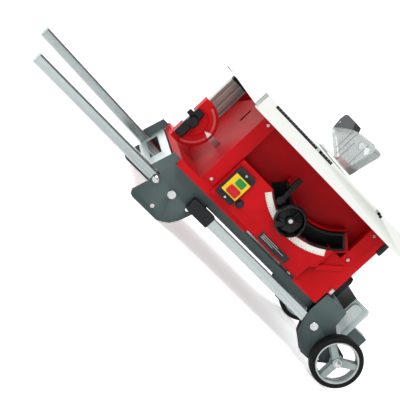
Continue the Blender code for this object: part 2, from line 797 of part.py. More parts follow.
def housing_fittings():
    """Black cover on the right wall, dust port at the back, scale, and the switch block."""
    cover = [
        (-0.155, HOUSE_STEP_Z + RUN),
        (0.100, HOUSE_STEP_Z + RUN),
        (0.100, 0.254),
        (0.088, 0.266),
        (-0.143, 0.266),
        (-0.155, 0.254),
    ]
    node("side_cover", "black_plastic", "stand", prism(cover, "x", HOUSE_STEP_X + FIT, -0.100))
    port = [
        (DUST_R - 2 * WALL, HOUSE_BACK + FIT),
        (DUST_R + 0.008, HOUSE_BACK + FIT),
        (DUST_R + 0.008, HOUSE_BACK + 0.004),
        (DUST_R - WALL, HOUSE_BACK + 0.004),
        (DUST_R - WALL, HOUSE_BACK + 0.035),
        (DUST_R - 2 * WALL, HOUSE_BACK + 0.035),
    ]
    node(
        "dust_port", "black_plastic", "stand", ring("y", DUST_X, DUST_Z, port, 40), smooth=True
    )
    band = arc_band(TILT_X, TILT_Z, SCALE_IN, SCALE_OUT, SCALE_FROM, SCALE_TO, 14)
    node(
        "bevel_scale",
        "white_plate",
        "stand",
        prism(band, "y", BULGE_Y - FIT - 0.0015, BULGE_Y - FIT),
    )
    face = BULGE_Y - FIT
    plate = prism(rounded(SWITCH_X, SWITCH_Z, 0.005), "y", face - SWITCH_DEEP, face)
    pockets = []
    for x, z, wide, high in (
        (START_X, START_Z, START_WIDE, START_HIGH),
        (STOP_X, STOP_Z, STOP_WIDE, STOP_HIGH),
    ):
        u = (x - wide / 2 - RUN / 2, x + wide / 2 + RUN / 2)
        v = (z - high / 2 - RUN / 2, z + high / 2 + RUN / 2)
        deep = face - SWITCH_DEEP + BUTTON_DEEP
        pockets.append(prism(rounded(u, v, 0.004), "y", face - SWITCH_DEEP - RUN, deep))
    node("switch_block", "black_plastic", "stand", plate, cuts=pockets)


def push_buttons():
    """Two rocker-sized push buttons in the switch block, and the round overload reset."""
    face = BULGE_Y - FIT - SWITCH_DEEP
    sunk = face + BUTTON_DEEP - 0.0035
    for name, finish, x, z, wide, high, proud in (
        ("start", "green_plastic", START_X, START_Z, START_WIDE, START_HIGH, 0.001),
        ("stop", "stop_plastic", STOP_X, STOP_Z, STOP_WIDE, STOP_HIGH, 0.004),
    ):
        outline = rounded((x - wide / 2, x + wide / 2), (z - high / 2, z + high / 2), 0.004)
        shape = prism(outline, "y", face - proud, sunk)
        node(f"{name}_button", finish, name, shape)
    reset = rod("y", RESET_X, RESET_Z, BULGE_Y - 0.007, BULGE_Y + WALL + 0.004, RESET_R, 24)
    node("reset_button", "black_plastic", "reset", reset, smooth=True)


def table():
    """Ribbed casting with two mitre slots and the blade opening, and a box rail front and back."""
    slab_low = TABLE_TOP - TABLE_SLAB
    below = (TABLE_LOW - RUN, slab_low)
    slots = [
        box((HOUSE_LEFT + RIB, HOUSE_RIGHT - RIB), (HOUSE_FRONT + RIB, HOUSE_BACK - RIB), below),
        box(
            (TABLE_LEFT + RIB, HOUSE_LEFT - RIB),
            (-TABLE_HALF + RIB, TABLE_HALF - RIB),
            below,
        ),
    ]
    for _, side in SIDES:
        y = span(side, HOUSE_BACK + RIB, TABLE_HALF - RIB)
        slots.append(box((HOUSE_LEFT, TABLE_RIGHT - RIB), y, below))
    mitre_slots = []
    for x in (BLADE_X - MITRE_FROM_BLADE, BLADE_X + MITRE_FROM_BLADE):
        mitre_slots.append(
            box(
                (x - MITRE_SLOT / 2, x + MITRE_SLOT / 2),
                (-RAIL_OUT - RUN, RAIL_OUT + RUN),
                (TABLE_TOP - MITRE_SLOT_DEEP, TABLE_TOP + RUN),
            )
        )
    slots.append(box((-0.4175, -0.3825), (-0.215, 0.112), (slab_low - RUN, TABLE_TOP + RUN)))
    casting = box(
        (TABLE_LEFT, TABLE_RIGHT), (-TABLE_HALF, TABLE_HALF), (TABLE_LOW, TABLE_TOP)
    )
    node("table_top", "aluminium", "stand", casting, cuts=slots + mitre_slots)
    for end, side in SIDES:
        y = span(side, TABLE_HALF + FIT, RAIL_OUT)
        rail = box((RAIL_LEFT, TABLE_RIGHT - RUN), y, (RAIL_LOW, TABLE_TOP))
        hollow = box(
            (RAIL_LEFT - RUN, TABLE_RIGHT),
            (y[0] + RAIL_WALL, y[1] - RAIL_WALL),
            (RAIL_LOW + RAIL_WALL, TABLE_TOP - RAIL_WALL),
        )
        node(f"rail_{end}", "aluminium", "stand", rail, cuts=[hollow] + mitre_slots)


def extension():
    """Short table that slides out on two bars inside the rails, and the lever that clamps it."""
    left = TABLE_RIGHT + RUN
    slab_low = TABLE_TOP - TABLE_SLAB
    hollow = box(
        (left + RIB / 2, EXTENSION_RIGHT - RIB / 2),
        (-RAIL_OUT + RIB / 2, RAIL_OUT - RIB / 2),
        (TABLE_LOW - RUN, slab_low),
    )
    bars = []
    for _, side in SIDES:
        bars.append(box((BAR_LEFT, left + RIB), span(side, BAR_IN, BAR_IN + BAR_WIDE), (0.4175, 0.4395)))
    top = box((left, EXTENSION_RIGHT), (-RAIL_OUT, RAIL_OUT), (TABLE_LOW, TABLE_TOP))
    solid = node("extension_table", "aluminium", "extension", top, cuts=[hollow])
    for bar in bars:
        join(solid, bar, "extension", "UNION")
    hub = rod("z", CLAMP_X, CLAMP_Y, RAIL_LOW - 0.012, RAIL_LOW - FIT, 0.008, 24)
    paddle = rounded((CLAMP_X - 0.007, CLAMP_X + 0.007), (0.372, 0.404), 0.004)
    grip = prism(paddle, "y", CLAMP_Y - 0.0045, CLAMP_Y + 0.0045)
    node("clamp_lever", "black_plastic", "clamp", hub, [grip])


def tilting_carriage():
    """Frame that tilts with the blade: front and rear plates, a beam between, and two posts."""
    plate_y = (-0.2005, -0.1955)
    front = [(-0.500, 0.262), (-0.478, 0.245), (-0.360, 0.245), (-0.360, 0.393), (-0.500, 0.393)]
    rear_y = (0.112, 0.117)
    beam = box((-0.4195, -0.3955), (plate_y[1] - RUN, rear_y[0] + RUN), (0.240, 0.262))
    rear = box((-0.440, -0.374), rear_y, (0.238, 0.393))
    posts = []
    for y in (POST_FRONT_Y, POST_REAR_Y):
        posts.append(rod("z", POST_X, y, 0.255, 0.425, POST_R, 20))
    deep = (plate_y[0] - RUN, plate_y[1] + RUN)
    holes = [
        rod("y", WHEEL_X, WHEEL_Z, *deep, SHAFT_R + FIT),
        rod("y", LEVER_X, LEVER_Z, *deep, BOLT_R + FIT),
    ]
    node(
        "tilt_carriage",
        "satin_zinc",
        "tilt",
        prism(front, "y", *plate_y),
        [beam, rear] + posts,
        holes,
    )


def lifting_carriage():
    """Plate that rides the posts and carries the motor, the arbor and the riving knife."""
    plate_x = (POST_X - 0.003, POST_X + 0.003)
    plate_z = (0.285, 0.365)
    plate = box(plate_x, (POST_FRONT_Y, POST_REAR_Y), plate_z)
    joins = []
    cuts = [rod("x", BLADE_Y, BLADE_Z, plate_x[0] - RUN, plate_x[1] + RUN, 0.012)]
    for y in (POST_FRONT_Y, POST_REAR_Y):
        joins.append(rod("z", POST_X, y, plate_z[0], 0.345, SLEEVE_R, 24))
        cuts.append(rod("z", POST_X, y, plate_z[0] - RUN, plate_z[1] + RUN, POST_R + FIT, 20))
    knife_face = BLADE_X - BLADE_THICK / 2 - FIT
    joins.append(box((plate_x[0], knife_face), (0.064, 0.078), (0.338, plate_z[1])))
    node("lift_carriage", "satin_zinc", "lift", plate, joins, cuts)
    end = plate_x[0] - FIT
    motor = turned(
        "x",
        BLADE_Y,
        BLADE_Z,
        [
            (0, MOTOR_LEFT),
            (0.030, MOTOR_LEFT),
            (MOTOR_R - 0.003, MOTOR_LEFT + 0.008),
            (MOTOR_R - 0.003, MOTOR_LEFT + 0.030),
            (MOTOR_R, MOTOR_LEFT + 0.032),
            (MOTOR_R, end - 0.012),
            (0.032, end),
            (0, end),
        ],
    )
    node("motor", "black_plastic", "lift", motor, smooth=True)
    knife = [
        (0.066, 0.340),
        (0.078, 0.340),
        (0.097, 0.477),
    ]
    top = 0.008
    for i in range(7):
        turn = math.radians(-20 + 200 * i / 6)
        knife.append(
            (GUARD_HINGE_Y + top * math.cos(turn), GUARD_HINGE_Z + top * math.sin(turn))
        )
    knife += [(0.070, 0.508), (0.054, 0.504), (-0.105, 0.468)]
    knife += [(-0.105, 0.4625), (0.000, 0.4595), (0.030, 0.430)]
    half = BLADE_THICK / 2 - FIT
    blade_x = (BLADE_X - half, BLADE_X + half)
    hinge_hole = rod(
        "x", GUARD_HINGE_Y, GUARD_HINGE_Z, blade_x[0] - RUN, blade_x[1] + RUN, HINGE_R + FIT, 16
    )
    node("riving_knife", "bright_steel", "lift", prism(knife, "x", *blade_x), cuts=[hinge_hole])


def blade():
    """Toothed disc clamped between a flange and a nut on the arbor."""
    outline = []
    for i in range(TEETH):
        for turn, radius in ((0, BLADE_R), (0.25, BLADE_R - 0.006), (0.45, BLADE_R - 0.007)):
            t = 2 * math.pi * (i + turn) / TEETH
            outline.append((BLADE_Y + radius * math.cos(t), BLADE_Z + radius * math.sin(t)))
    faces = (BLADE_X - BLADE_THICK / 2, BLADE_X + BLADE_THICK / 2)
    bore = rod("x", BLADE_Y, BLADE_Z, faces[0] - RUN, faces[1] + RUN, BLADE_BORE, 24)
    node("saw_blade", "bright_steel", "blade", prism(outline, "x", *faces), cuts=[bore])
    spindle = BLADE_BORE - FIT
    arbor = turned(
        "x",
        BLADE_Y,
        BLADE_Z,
        [
            (0, POST_X - 0.003),
            (spindle, POST_X - 0.003),
            (spindle, faces[0] - 0.005),
            (0.022, faces[0] - 0.005),
            (0.022, faces[0] - FIT),
            (spindle, faces[0] - FIT),
            (spindle, faces[1] + FIT),
            (0.022, faces[1] + FIT),
            (0.022, faces[1] + 0.004),
            (0.013, faces[1] + 0.004),
            (0.013, faces[1] + 0.012),
            (0, faces[1] + 0.012),
        ],
        24,
    )
    node("arbor", "bright_steel", "blade", arbor, smooth=True)


def guard():
    """Clear channel over the blade with a finger hole, and its black rear housing on a hinge pin."""
    half = GUARD_WIDE / 2
    skin = [
        (-0.261, 0.570),
        (-0.291, 0.564),
        (-0.300, 0.5526),
        (-0.247, 0.465),
        (-0.240, 0.462),
        (-0.107, 0.462),
        (-0.100, 0.469),
        (0.054, 0.504),
        (0.103, 0.510),
        (0.099, 0.5192),
        (0.052, 0.5362),
        (-0.044, 0.5552),
        (-0.118, 0.564),
    ]
    hollow = [
        (-0.2605, 0.5678),
        (-0.2895, 0.5622),
        (-0.2975, 0.5520),
        (-0.2442, 0.464),
        (-0.2440, 0.440),
        (0.120, 0.440),
        (0.120, 0.5075),
        (0.0975, 0.5170),
        (0.0515, 0.5338),
        (-0.0443, 0.5529),
        (-0.118, 0.5617),
    ]
    finger = [
        (-0.154, 0.545),
        (-0.197, 0.552),
        (-0.222, 0.541),
        (-0.212, 0.5295),
        (-0.198, 0.529),
    ]
    outside = (BLADE_X - half, BLADE_X + half)
    inside = (outside[0] + GUARD_WALL, outside[1] - GUARD_WALL)
    knife_slot = box((BLADE_X - 0.0025, BLADE_X + 0.0025), (0.060, 0.130), (0.500, 0.5585))
    node(
        "guard_shell",
        "clear_plastic",
        "guard",
        prism(skin, "x", *outside),
        cuts=[
            prism(hollow, "x", *inside),
            prism(finger, "x", outside[0] - RUN, outside[1] + RUN),
            knife_slot,
        ],
    )
    port = [
        (0.114, 0.552),
        (0.107, 0.571),
        (0.084, 0.577),
        (-0.016, 0.576),
        (-0.044, 0.5558),
        (0.052, 0.5368),
        (0.0995, 0.5198),
    ]
    bore = rod(
        "x", GUARD_HINGE_Y, GUARD_HINGE_Z, outside[0] - RUN, outside[1] + RUN, HINGE_R + FIT, 16
    )
    shape = prism(port, "x", *outside)
    node("guard_port", "black_plastic", "guard", shape, cuts=[knife_slot, bore])
    pin = rod("x", GUARD_HINGE_Y, GUARD_HINGE_Z, *outside, HINGE_R, 16)
    node("guard_hinge_pin", "bright_steel", "guard", pin, smooth=True)


def tilt_controls():
    """Handwheel with its crank grip, and the lever that locks the tilt."""
    front = HANDWHEEL_FRONT
    back = -0.2625
    profile = [
        (0, front + 0.005),
        (0.012, front + 0.005),
        (0.015, front + 0.012),
        (0.033, front + 0.013),
        (0.038, front + 0.002),
        (0.0425, front),
        (HANDWHEEL_R, front + 0.005),
        (HANDWHEEL_R - 0.001, back - 0.004),
        (0.040, back),
        (0.012, back),
        (SHAFT_R, back + 0.006),
        (SHAFT_R, SHAFT_END),
        (0, SHAFT_END),
    ]
    wheel_shape = turned("y", WHEEL_X, WHEEL_Z, profile)
    node("handwheel", "black_plastic", "handwheel", wheel_shape, smooth=True)
    grip = [
        (0, -0.3015),
        (0.007, -0.3015),
        (0.009, -0.299),
        (0.0085, front - 0.004),
        (0.0065, front - 0.002),
        (0, front - 0.002),
    ]
    grip_shape = turned("y", GRIP_X, GRIP_Z, grip, 20)
    node("crank_grip", "black_plastic", "crank", grip_shape, smooth=True)
    face = BULGE_Y - 0.002
    along = Vector((LEVER_TIP_X - LEVER_X, LEVER_TIP_Z - LEVER_Z))
    across = Vector((-along.y, along.x)).normalized() * LEVER_WIDE / 2
    base = Vector((LEVER_X, LEVER_Z))
    outline = [base - across * 0.8, base + along * 0.93 - across]
    outline += [base + along * 1.03 - across * 0.6, base + along * 1.03 + across * 0.6]
    outline += [base + along * 0.93 + across, base + across * 0.8]
    stick = prism([tuple(p) for p in outline], "y", face - 0.014, face - 0.004)
    hub = rod("y", LEVER_X, LEVER_Z, face - 0.0145, face, 0.0125, 24)
    stud = rod("y", LEVER_X, LEVER_Z, face - 0.002, SHAFT_END, BOLT_R, 16)
    node("bevel_lock_lever", "black_plastic", "bevel_lock", hub, [stick, stud])


def stored_mitre_gauge():
    """Protractor head on its bar, pushed into the left wall, with a clamp knob."""
    bar_y = (MITRE_Y - 0.0045, MITRE_Y + 0.0045)
    half = MITRE_SLOT / 2 - FIT
    bar = box((MITRE_PIVOT_X - 0.010, MITRE_BAR_END), bar_y, (MITRE_Z - half, MITRE_Z + half))
    hole = rod(
        "y", MITRE_PIVOT_X, MITRE_Z, bar_y[0] - RUN, bar_y[1] + RUN, 0.004 + FIT, 16
    )
    node("mitre_bar", "bright_steel", "mitre", bar, cuts=[hole])
    flat = -0.768
    head_y = (bar_y[0] - FIT - MITRE_THICK, bar_y[0] - FIT)
    lean = math.acos((flat - MITRE_PIVOT_X) / MITRE_R)
    outline = []
    for i in range(25):
        turn = lean - 2 * lean * i / 24
        outline.append(
            (MITRE_PIVOT_X + MITRE_R * math.cos(turn), MITRE_Z + MITRE_R * math.sin(turn))
        )
    fence_face = box(
        (flat - 0.004, flat + 0.001),
        (head_y[0], MITRE_Y + 0.020),
        (MITRE_Z - 0.071, MITRE_Z + 0.071),
    )
    bar_clear = box(
        (flat - 0.006, flat + 0.004),
        (bar_y[0] - FIT, MITRE_Y + 0.030),
        (MITRE_Z - 0.022, MITRE_Z + 0.022),
    )
    pin_hole = rod(
        "y", MITRE_PIVOT_X, MITRE_Z, head_y[0] - RUN, head_y[1] + RUN, 0.004 + FIT, 16
    )
    node(
        "mitre_head",
        "red_paint",
        "mitre_turn",
        prism(outline, "y", *head_y),
        [fence_face],
        [bar_clear, pin_hole],
    )
    profile = [
        (0, bar_y[1] - RUN),
        (0.004, bar_y[1] - RUN),
        (0.004, head_y[0] - FIT),
        (0.013, head_y[0] - FIT),
        (0.017, head_y[0] - 0.006),
        (0.017, head_y[0] - 0.018),
        (0.014, head_y[0] - 0.022),
        (0, head_y[0] - 0.022),
    ]
    knob = turned("y", MITRE_PIVOT_X, MITRE_Z, profile, 24)
    node("mitre_knob", "black_plastic", "mitre_grip", knob, smooth=True)


def stored_fence():
    """Fluted extrusion standing in the rear left recess, with a cap on top."""
    x, y = FENCE_X, FENCE_Y
    grooves = []
    low = FLANGE_TOP + RUN / 2
    for i in range(3):
        middle = x[0] + (x[1] - x[0]) * (i + 0.5) / 3
        for face in y:
            grooves.append(
                box(
                    (middle - FENCE_GROOVE, middle + FENCE_GROOVE),
                    (face - FENCE_GROOVE, face + FENCE_GROOVE),
                    (low - RUN, FENCE_TOP + RUN),
                )
            )
    node("fence_extrusion", "aluminium", "fence", box(x, y, (low, FENCE_TOP)), cuts=grooves)
    cap = prism(rounded(x, y, 0.003), "z", FENCE_TOP + FIT, FENCE_TOP + 0.0105)
    node("fence_cap", "black_plastic", "fence", cap)


for end, side in SIDES:
    wheel(end, side)
    frame(end, side)
    left_bracket(end, side)
    right_bracket(end, side)
    handle(end, side)
    leg(end, side)
    lock_pin(end, side)
    through_bolt(
        f"left_pivot_bolt_{end}", side, LEFT_PIVOT_X, LEFT_PIVOT_Z, HANDLE_IN, CHEEK_OUT
    )
    through_bolt(
        f"right_pivot_bolt_{end}", side, RIGHT_PIVOT_X, RIGHT_PIVOT_Z, CHEEK_IN, OUTER_FACE
    )
axle()
left_cross_member()
cross_beam()
parking_bracket()
housing()
housing_fittings()
push_buttons()
table()
extension()
tilting_carriage()
lifting_carriage()
blade()
guard()
tilt_controls()
stored_mitre_gauge()
stored_fence()
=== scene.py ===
"""Looks of the table saw on its folding trolley: materials, small fittings, light and camera."""

import json
import math

import bmesh
import bpy
from mathutils import Matrix, Vector


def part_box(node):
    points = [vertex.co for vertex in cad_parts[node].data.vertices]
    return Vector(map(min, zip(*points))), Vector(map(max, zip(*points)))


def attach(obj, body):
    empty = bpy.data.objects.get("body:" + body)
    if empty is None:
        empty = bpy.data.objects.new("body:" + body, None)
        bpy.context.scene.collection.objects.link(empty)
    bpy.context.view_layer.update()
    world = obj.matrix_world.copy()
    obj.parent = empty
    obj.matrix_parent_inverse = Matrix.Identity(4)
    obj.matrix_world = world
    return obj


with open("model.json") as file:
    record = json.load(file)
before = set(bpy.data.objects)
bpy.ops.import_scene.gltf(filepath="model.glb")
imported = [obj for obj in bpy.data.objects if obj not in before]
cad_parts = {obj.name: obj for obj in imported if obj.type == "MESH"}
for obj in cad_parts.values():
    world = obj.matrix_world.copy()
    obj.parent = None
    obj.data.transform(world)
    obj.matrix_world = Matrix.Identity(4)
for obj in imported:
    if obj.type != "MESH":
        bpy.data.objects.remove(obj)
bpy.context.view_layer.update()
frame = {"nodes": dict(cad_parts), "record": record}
nodes = frame["nodes"]

MM = 0.001
CLOUD_MM = 45  # size of the tonal patches in a finish
WORN_FROM, WORN_FULL = 0.52, 0.60  # how sharp an edge is where its wear starts and is full
WORN_SHARE = 0.75
SMOOTH_BELOW = 38  # degrees between faces that are shaded as one


def linear(hex_colour):
    """An sRGB hex colour as linear RGBA."""
    parts = [int(hex_colour[i : i + 2], 16) / 255 for i in (1, 3, 5)]
    return tuple(
        c / 12.92 if c <= 0.04045 else ((c + 0.055) / 1.055) ** 2.4 for c in parts
    ) + (1,)


def add(tree, kind, links=None, **settings):
    """Adds a shader node with its settings, and sets or links its inputs."""
    made = tree.nodes.new("ShaderNode" + kind)
    for name, value in settings.items():
        setattr(made, name, value)
    for name, value in (links or {}).items():
        if isinstance(value, bpy.types.NodeSocket):
            tree.links.new(value, made.inputs[name])
        else:
            made.inputs[name].default_value = value
    return made


def surface(
    name,
    colour,
    shade,
    rough,
    metallic=0.0,
    grain_mm=0.8,
    depth_mm=0.02,
    edge=None,
    along=(1, 1, 1),
    round_mm=0.8,
    **sockets,
):
    """A material mottled between colour and shade, with worn edges and a fine grain."""
    material = bpy.data.materials.new(name)
    material.use_nodes = True
    tree = material.node_tree
    shader = tree.nodes["Principled BSDF"]
    place = add(tree, "TexCoord")
    stretched = add(tree, "Mapping", {"Vector": place.outputs["Object"], "Scale": along})
    cloud = add(
        tree,
        "TexNoise",
        {"Vector": stretched.outputs[0], "Scale": 1 / (CLOUD_MM * MM), "Detail": 4.0},
    )
    fine = add(
        tree, "TexNoise", {
            "Vector": stretched.outputs[0],
            "Scale": 1 / (grain_mm * MM),
            "Detail": 3.0,
        }
    )
    tone = add(
        tree, "Mix", {
            "Factor": cloud.outputs["Fac"],
            6: linear(shade),
            7: linear(colour),
        }, data_type="RGBA"
    )
    tint = tone.outputs[2]
    if edge:
        pointed = add(tree, "NewGeometry").outputs["Pointiness"]
        worn = {0: pointed, 1: WORN_FROM, 2: WORN_FULL, 3: 0.0, 4: WORN_SHARE}
        sharp = add(tree, "MapRange", worn).outputs[0]
        layers = {"Factor": sharp, 6: tint, 7: linear(edge)}
        tint = add(tree, "Mix", layers, data_type="RGBA").outputs[2]
    tree.links.new(tint, shader.inputs["Base Color"])
    spread = {0: fine.outputs["Fac"], 1: 0.3, 2: 0.7, 3: rough - 0.06, 4: rough + 0.07}
    gloss = add(tree, "MapRange", spread)
    tree.links.new(gloss.outputs[0], shader.inputs["Roughness"])
    soft = add(tree, "Bevel", {"Radius": round_mm * MM}, samples=4)
    bump = add(
        tree,
        "Bump",
        {"Height": fine.outputs["Fac"], "Distance": depth_mm * MM, "Normal": soft.outputs[0]},
    )
    tree.links.new(bump.outputs[0], shader.inputs["Normal"])
    shader.inputs["Metallic"].default_value = metallic
    for socket, value in sockets.items():
        shader.inputs[socket.replace("_", " ")].default_value = value
    return material


def repaint(material, mask, hex_colour):
    """Lays a second colour over a material's own wherever the mask is 1."""
    tree = material.node_tree
    base = tree.nodes["Principled BSDF"].inputs["Base Color"]
    under = base.links[0].from_socket
    over = add(tree, "Mix", {"Factor": mask, 6: under, 7: linear(hex_colour)}, data_type="RGBA")
    tree.links.new(over.outputs[2], base)


def within(tree, value, low, high):
    """1 where the value is between low and high."""
    middle, half = (low + high) / 2, (high - low) / 2
    return add(tree, "Math", {0: value, 1: middle, 2: half}, operation="COMPARE").outputs[0]


def both(tree, a, b):
    """1 where both masks are 1."""
    return add(tree, "Math", {0: a, 1: b}, operation="MULTIPLY").outputs[0]


# Moulded ABS, self-coloured red: low sheen with a fine spark-eroded grain and paler rubbed edges.
red_abs = surface(
    "red_moulded_abs",
    "#b8000f",
    "#90000b",
    0.48,
    grain_mm=0.9,
    depth_mm=0.03,
    edge="#cc1a22",
    round_mm=1.6,
    Specular_IOR_Level=0.2,
)
# Powder-coated steel, dark blue-grey: slight orange peel, worn to a paler grey on the edges.
stand_steel = surface(
    "powder_coated_steel",
    "#1c2626",
    "#121919",
    0.40,
    0.2,
    2.2,
    0.04,
    edge="#6c7a7a",
    round_mm=1.0,
    Specular_IOR_Level=0.2,
)
# Bright-drawn and lacquered steel tube: silvery, with painted reflection: its colour is mottled
# into dark and light bands along its length.
tube_steel = surface(
    "lacquered_drawn_tube",
    "#6c7775",
    "#4c5655",
    0.20,
    0.95,
    0.8,
    0.012,
    edge="#c9d1d1",
    # painted reflection: the tonal patches are stretched along the tube into light and dark bands
    along=(0.05, 1, 1),
    round_mm=2.5,
)
# Passivated pressed steel: pale satin grey with faint cloudy patches from plating.
zinc_sheet = surface(
    "zinc_plated_sheet", "#b4bfbe", "#8f9c9c", 0.36, 0.75, 1.4, 0.02, edge="#dfe6e4"
)
# Extruded and machined aluminium: pale, with lines drawn along its length.
drawn_aluminium = surface(
    "extruded_aluminium",
    "#b5b7aa",
    "#a3a598",
    0.42,
    0.35,
    0.6,
    0.02,
    along=(0.04, 1, 1),
    edge="#cfd1c6",
)
machined_top = surface(
    "machined_cast_aluminium",
    "#a9aea6",
    "#8f958d",
    0.34,
    0.8,
    0.5,
    0.015,
    along=(1, 0.03, 1),
    edge="#e8ece9",
)
upright_aluminium = surface(
    "fluted_aluminium", "#b9beb8", "#a1a7a1", 0.34, 0.6, 0.6, 0.02, along=(1, 1, 0.05)
)
# Glass-filled nylon, black: matt, with an even fine texture that greys a little at the edges.
black_nylon = surface(
    "black_filled_nylon",
    "#101112",
    "#0a0b0b",
    0.46,
    grain_mm=0.7,
    depth_mm=0.03,
    edge="#3c4043",
    Specular_IOR_Level=0.25,
)
# Polished nylon of the controls: black with a hard, wet-looking sheen.
gloss_nylon = surface(
    "polished_black_nylon",
    "#08090a",
    "#050505",
    0.16,
    grain_mm=1.1,
    depth_mm=0.01,
    edge="#1c1e20",
    Specular_IOR_Level=0.35,
)
# Moulded rim, grey nylon: satin, lighter where it is rubbed.
rim_plastic = surface(
    "grey_moulded_rim", "#a6b0af", "#8a9594", 0.4, 0.2, 1.0, 0.03, edge="#d5dbd9"
)
# Solid vulcanised rubber: dull charcoal with a dusty bloom.
tyre_rubber = surface(
    "vulcanised_rubber",
    "#141515",
    "#0c0c0c",
    0.66,
    grain_mm=1.6,
    depth_mm=0.06,
    edge="#242525",
    Specular_IOR_Level=0.3,
)
# Turned and plated steel: bright, fine turning marks.
bright_steel = surface("bright_plated_steel", "#d2d4d4", "#b0b3b3", 0.22, 1.0, 0.5, 0.01)
# Ground spring steel blade: lines from grinding, bluish grey.
ground_steel = surface("ground_saw_steel", "#b9bec1", "#9aa0a4", 0.26, 1.0, 0.4, 0.012)
# Painted motor can: semi-matt black.
motor_paint = surface("black_stove_enamel", "#222426", "#17181a", 0.4, 0.2, 1.5, 0.04)
# Printed plate: flat white ink. Switch mouldings: clean, saturated plastic with a soft gloss.
white_print = surface(
    "white_printed_plate", "#e9e9e2", "#d9d9d0", 0.45, grain_mm=1.2, depth_mm=0.005
)
yellow_abs = surface(
    "yellow_moulded_abs", "#f0cf22", "#d8b312", 0.36, grain_mm=0.8, depth_mm=0.015
)
green_abs = surface("green_moulded_abs", "#2c9a4a", "#1d7a38", 0.3, grain_mm=0.8, depth_mm=0.01)
stop_abs = surface("red_button_abs", "#d2141d", "#ad0f17", 0.3, grain_mm=0.8, depth_mm=0.01)
# Near-black matt: the printed colour of the scale ticks, and painted shade on the sheet behind the
# tilt slot
print_and_shade_black = surface(
    "print_and_painted_shade_black", "#0c0c0d", "#080808", 0.7, grain_mm=1.0, depth_mm=0.02
)
# Injection-moulded clear polycarbonate: see-through, with a faint grey body and soft gloss.
clear_pc = surface(
    "clear_polycarbonate",
    "#a4adab",
    "#8e9896",
    0.15,
    grain_mm=3.0,
    depth_mm=0.01,
    Transmission_Weight=0.35,
    IOR=1.3,
    Alpha=0.5,
)

FINISH = {
    "red_paint": red_abs,
    "stand_paint": stand_steel,
    "satin_zinc": zinc_sheet,
    "aluminium": drawn_aluminium,
    "black_plastic": black_nylon,
    "motor_case": motor_paint,
    "rubber": tyre_rubber,
    "bright_steel": bright_steel,
    "clear_plastic": clear_pc,
    "white_plate": white_print,
    "green_plastic": green_abs,
    "stop_plastic": stop_abs,
}


def coat(obj, material):
    """Gives an object one material."""
    obj.data.materials.clear()
    obj.data.materials.append(material)


for part in frame["record"]["subparts"]:
    coat(nodes[part["node"]], FINISH[part["material_slot"]])
for end in ("front", "rear"):
    coat(nodes[f"handle_tube_{end}"], tube_steel)
    coat(nodes[f"leg_tube_{end}"], tube_steel)
coat(nodes["table_top"], machined_top)
coat(nodes["extension_table"], machined_top)
coat(nodes["fence_extrusion"], upright_aluminium)
coat(nodes["saw_blade"], ground_steel)
coat(nodes["riving_knife"], bright_steel)
for control in (
    "handwheel", "crank_grip", "bevel_lock_lever", "mitre_knob", "leg_foot_front", "leg_foot_rear"
):
    coat(nodes[control], gloss_nylon)

ROUND_NODES = (
    *("tyre", "wheel_rim", "handwheel", "crank", "motor", "bolt"),
    *("pin", "knob", "dust", "axle", "arbor", "handle_tube"),
)
for name, obj in nodes.items():
    if any(word in name for word in ROUND_NODES):
        obj.data.polygons.foreach_set("use_smooth", [True] * len(obj.data.polygons))
        obj.data.set_sharp_from_angle(angle=math.radians(SMOOTH_BELOW))


def corners(node):
    """The lowest and the highest corner of a node, as vectors."""
    low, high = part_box(node)
    return Vector(low), Vector(high)


rail_low, rail_high = corners("rail_front")
house_low, house_high = corners("housing")
tyre_low, tyre_high = corners("tyre_front")
AXLE_X = (tyre_low.x + tyre_high.x) / 2
AXLE_Z = (tyre_low.z + tyre_high.z) / 2


def rail_material():
    """Extruded rail with a printed rule: white ticks 5 mm apart on a black band."""
    material = surface(
        "printed_extruded_rail",
        "#b9bbae",
        "#a9ab9e",
        0.4,
        0.3,
        0.6,
        0.02,
        along=(0.04, 1, 1),
        edge="#f6f7f4",
    )
    tree = material.node_tree
    at = add(tree, "SeparateXYZ", {0: add(tree, "TexCoord").outputs["Object"]})
    x, z = at.outputs[0], at.outputs[2]
    start, length, pitch = rail_low.x + 0.034, 0.217, 0.005
    top = rail_high.z
    strip = both(
        tree, within(tree, x, start, start + length), within(tree, z, top - 0.0096, top - 0.0016)
    )
    step = add(tree, "Math", {0: x, 1: pitch}, operation="PINGPONG").outputs[0]
    tick = both(tree, within(tree, step, 0, 0.0006), within(tree, z, top - 0.0056, top))
    repaint(material, strip, "#1b1c1d")
    repaint(material, both(tree, strip, tick), "#d9dad6")
    mark = both(
        tree,
        within(tree, x, rail_low.x + 0.450, rail_low.x + 0.458),
        within(tree, z, top - 0.012, top - 0.004),
    )
    repaint(material, mark, "#1b1c1d")
    return material


for end in ("front", "rear"):
    coat(nodes[f"wheel_rim_{end}"], rim_plastic)
coat(nodes["rail_front"], rail_material())


